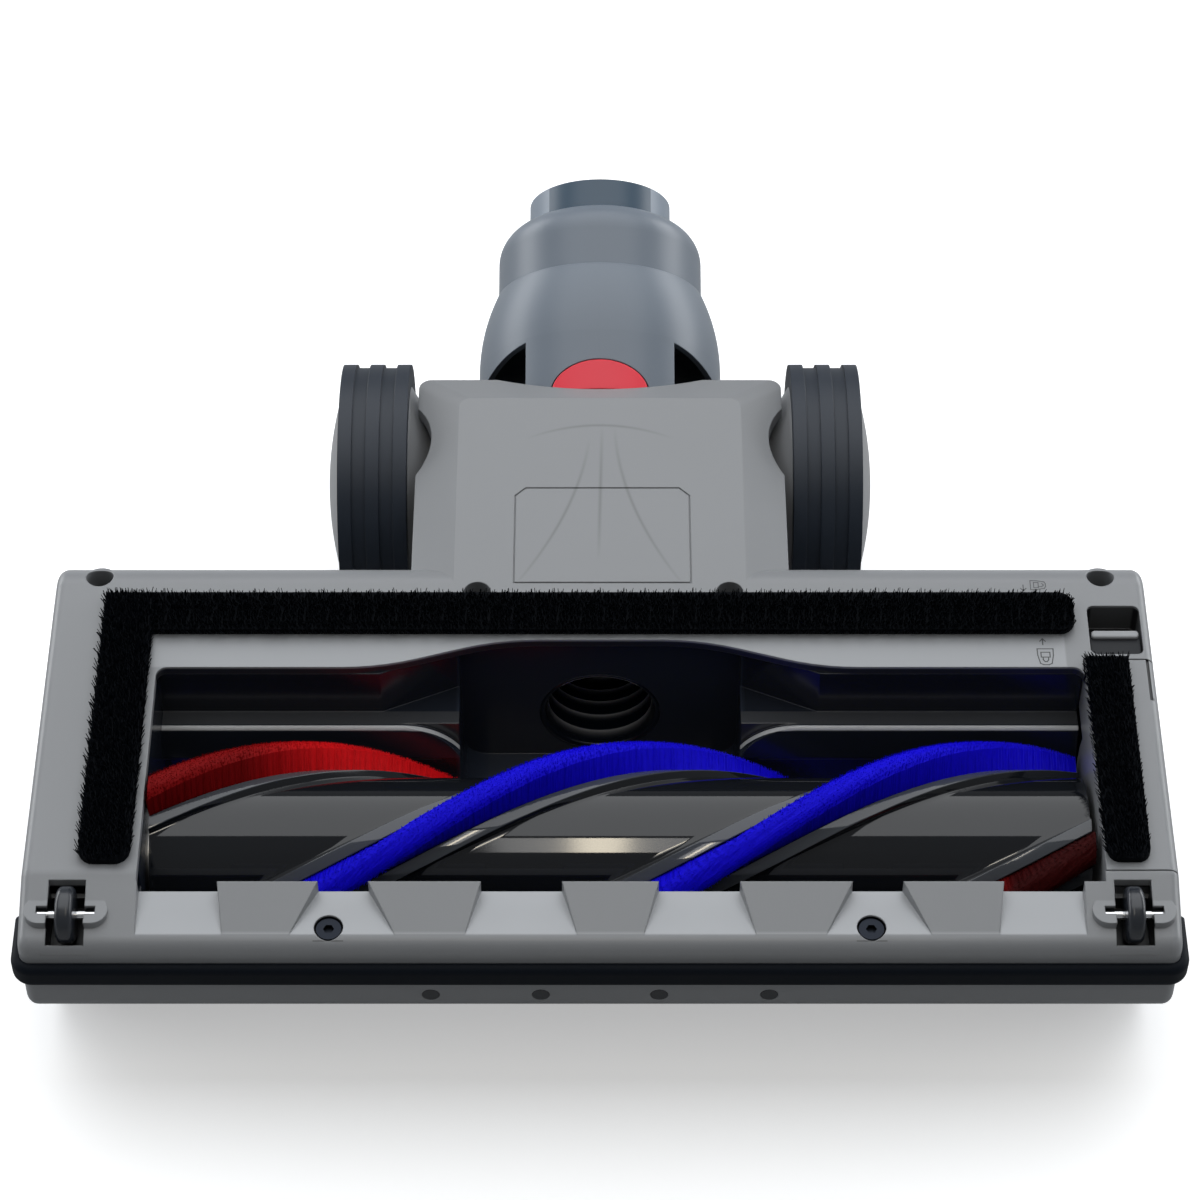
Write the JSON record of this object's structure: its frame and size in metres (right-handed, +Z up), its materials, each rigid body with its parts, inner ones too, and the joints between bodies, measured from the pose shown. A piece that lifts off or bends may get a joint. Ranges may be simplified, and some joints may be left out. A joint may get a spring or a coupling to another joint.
{
  "type": "vacuum floor brush head",
  "caption": "Motorised vacuum floor head lying sole up: spinning bristle bar in a suction chamber, front rollers, rear wheels and a tilting, swivelling neck.",
  "frame": {"origin": "on the flat of the top cover, which the head lies on, under the axis of the brush bar", "axes": "+X across the head to the end cap, +Y from the bumper back to the neck, +Z up out of the sole"},
  "size_m": [0.253, 0.2372, 0.0697],
  "materials": {
    "sole_grey": "satin moulded plastic",
    "neck_grey": "fine matt moulded plastic",
    "connector_slate": "fine matt moulded plastic",
    "chamber_black": "glossy moulded plastic",
    "brush_black": "polished moulded plastic",
    "inner_black": "plain moulded plastic",
    "bumper_rubber": "soft matt rubber",
    "hose_rubber": "ribbed soft plastic",
    "felt_black": "dense cut pile",
    "bristle_blue": "dense nylon bristle",
    "bristle_red": "dense nylon bristle",
    "tyre_slate": "ribbed soft tyre",
    "hub_grey": "satin moulded plastic",
    "roller_grey": "smooth hard plastic",
    "axle_steel": "bright drawn pin",
    "screw_steel": "blackened steel",
    "motor_steel": "plated can",
    "contact_brass": "plated contact",
    "board_green": "lacquered board",
    "lens_dark": "smoked window",
    "button_red": "satin moulded plastic"
  },
  "bodies": {
    "head": {"lower_housing": "sole_grey", "top_cover": "sole_grey", "end_cap": "sole_grey", "front_bumper": "bumper_rubber", "chamber_liner": "chamber_black", "suction_hose": "hose_rubber", "hose_cuff": "inner_black", "rear_felt": "felt_black", "left_felt": "felt_black", "right_felt": "felt_black", "end_bearing": "axle_steel", "drive_motor": "motor_steel", "motor_mount": "inner_black", "led_lenses": "lens_dark", "led_board": "board_green", "front_screws": "screw_steel", "rear_screws": "screw_steel", "left_wheel_axle": "axle_steel", "right_wheel_axle": "axle_steel", "left_roller_axle": "axle_steel", "right_roller_axle": "axle_steel", "trunnion_pins": "axle_steel"},
    "brush_bar": {"brush_core": "brush_black", "blue_bristles": "bristle_blue", "red_bristles": "bristle_red", "motor_shaft": "axle_steel", "drive_coupling": "inner_black", "core_bearing": "inner_black", "brush_end_plug": "inner_black"},
    "latch": {"end_cap_latch": "chamber_black"},
    "left_wheel": {"left_wheel_hub": "hub_grey", "left_tyre": "tyre_slate", "left_hub_cap": "hub_grey"},
    "right_wheel": {"right_wheel_hub": "hub_grey", "right_tyre": "tyre_slate", "right_hub_cap": "hub_grey"},
    "left_front_roller": {"left_roller": "roller_grey"},
    "right_front_roller": {"right_roller": "roller_grey"},
    "yoke": {"tilt_yoke": "inner_black"},
    "neck": {"neck_shell": "neck_grey", "neck_collar": "neck_grey", "wand_connector": "connector_slate", "contact_pins": "contact_brass"},
    "button": {"release_button": "button_red"}
  },
  "joints": [
    {"name": "brush_spin", "type": "hinge", "parent": "head", "child": "brush_bar", "pos_m": [0, 0, 0.036], "axis": [1, 0, 0], "continuous": true},
    {"name": "left_wheel_spin", "type": "hinge", "parent": "head", "child": "left_wheel", "pos_m": [-0.05, 0.1135, 0.0326], "axis": [1, 0, 0], "continuous": true},
    {"name": "right_wheel_spin", "type": "hinge", "parent": "head", "child": "right_wheel", "pos_m": [0.05, 0.1135, 0.0326], "axis": [1, 0, 0], "continuous": true},
    {"name": "left_roller_spin", "type": "hinge", "parent": "head", "child": "left_front_roller", "pos_m": [-0.1142, -0.0305, 0.056], "axis": [1, 0, 0], "continuous": true},
    {"name": "right_roller_spin", "type": "hinge", "parent": "head", "child": "right_front_roller", "pos_m": [0.1142, -0.0305, 0.056], "axis": [1, 0, 0], "continuous": true},
    {"name": "neck_tilt", "type": "hinge", "parent": "head", "child": "yoke", "pos_m": [0, 0.1245, 0.026], "axis": [1, 0, 0], "range_deg": [-114, 0], "deforming": ["suction_hose"]},
    {"name": "neck_swivel", "type": "hinge", "parent": "yoke", "child": "neck", "pos_m": [0, 0.1245, 0.026], "axis": [0, 0.9336, 0.3584], "range_deg": [-60, 60]},
    {"name": "release_press", "type": "slide", "parent": "neck", "child": "button", "axis": [0, 0.3584, -0.9336], "range_m": [0, 0.002], "stiffness_N_per_m": 500, "springref_m": -0.002},
    {"name": "latch_slide", "type": "slide", "parent": "head", "child": "latch", "axis": [0, 1, 0], "range_m": [0, 0.006]}
  ]
}
